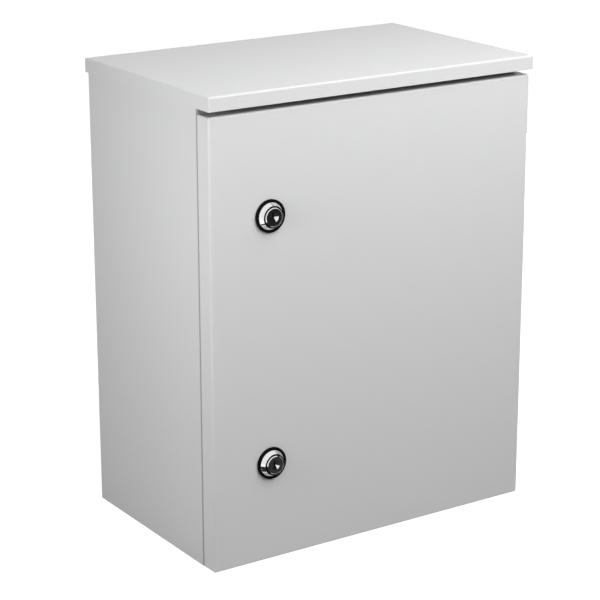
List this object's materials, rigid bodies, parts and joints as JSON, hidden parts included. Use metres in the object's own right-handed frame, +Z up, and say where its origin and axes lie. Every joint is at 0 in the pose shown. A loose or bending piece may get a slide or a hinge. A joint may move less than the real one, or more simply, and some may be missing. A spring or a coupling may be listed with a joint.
{
  "type": "steel wall enclosure",
  "caption": "Sheet steel wall enclosure with a rain roof, a hinged door with key-turned cam locks and a foamed seal, cable grommets and a mounting plate inside.",
  "frame": {"origin": "centre of the four wall fixing holes, on the plane of the wall", "axes": "+X to the right of a person who faces the door, +Y into the wall, +Z up"},
  "size_m": [0.403, 0.2584, 0.5],
  "materials": {
    "powder_coat": "light grey powder coat, satin",
    "galvanised_steel": "hot-dip galvanised sheet",
    "zinc_plate": "bright zinc plate",
    "chrome_plate": "polished chrome plate",
    "lock_plug_plate": "polished nickel plate",
    "black_rubber": "matt black rubber",
    "foam_seal": "foamed polyurethane"
  },
  "bodies": {
    "enclosure": {"body_wrap": "powder_coat", "body_top": "powder_coat", "body_bottom": "powder_coat", "roof_cap": "powder_coat", "roof_studs": "zinc_plate", "roof_seal_washers": "black_rubber", "roof_nuts": "zinc_plate", "left_cable_grommet": "black_rubber", "middle_cable_grommet": "black_rubber", "right_cable_grommet": "black_rubber", "plate_studs": "zinc_plate", "plate_spacers": "zinc_plate", "mounting_plate": "galvanised_steel", "plate_washers": "zinc_plate", "plate_nuts": "zinc_plate", "body_earth_stud": "zinc_plate", "body_earth_nut": "zinc_plate", "upper_hinge_bracket": "powder_coat", "lower_hinge_bracket": "powder_coat", "hinge_screws": "zinc_plate", "hinge_nuts": "zinc_plate"},
    "door": {"door": "powder_coat", "door_gasket": "foam_seal", "door_earth_stud": "zinc_plate", "door_earth_nut": "zinc_plate", "upper_hinge_top_lug": "powder_coat", "upper_hinge_bottom_lug": "powder_coat", "upper_hinge_pin": "zinc_plate", "upper_hinge_clip": "zinc_plate", "upper_lock_ring": "black_rubber", "upper_lock_housing": "chrome_plate", "upper_lock_nut": "zinc_plate", "lower_hinge_top_lug": "powder_coat", "lower_hinge_bottom_lug": "powder_coat", "lower_hinge_pin": "zinc_plate", "lower_hinge_clip": "zinc_plate", "lower_lock_ring": "black_rubber", "lower_lock_housing": "chrome_plate", "lower_lock_nut": "zinc_plate"},
    "upper_lock": {"upper_lock_plug": "lock_plug_plate", "upper_lock_cam": "zinc_plate", "upper_cam_washer": "zinc_plate", "upper_cam_screw": "zinc_plate"},
    "lower_lock": {"lower_lock_plug": "lock_plug_plate", "lower_lock_cam": "zinc_plate", "lower_cam_washer": "zinc_plate", "lower_cam_screw": "zinc_plate"}
  },
  "joints": [
    {"name": "door_hinge", "type": "hinge", "parent": "enclosure", "child": "door", "pos_m": [0.193, -0.2425, -0.01035], "axis": [0, 0, 1], "range_deg": [0, 120]},
    {"name": "upper_lock_turn", "type": "hinge", "parent": "door", "child": "upper_lock", "pos_m": [-0.13, -0.25, 0.1215], "axis": [0, 1, 0], "range_deg": [0, 90]},
    {"name": "lower_lock_turn", "type": "hinge", "parent": "door", "child": "lower_lock", "pos_m": [-0.13, -0.25, -0.1422], "axis": [0, 1, 0], "range_deg": [0, 90]}
  ]
}
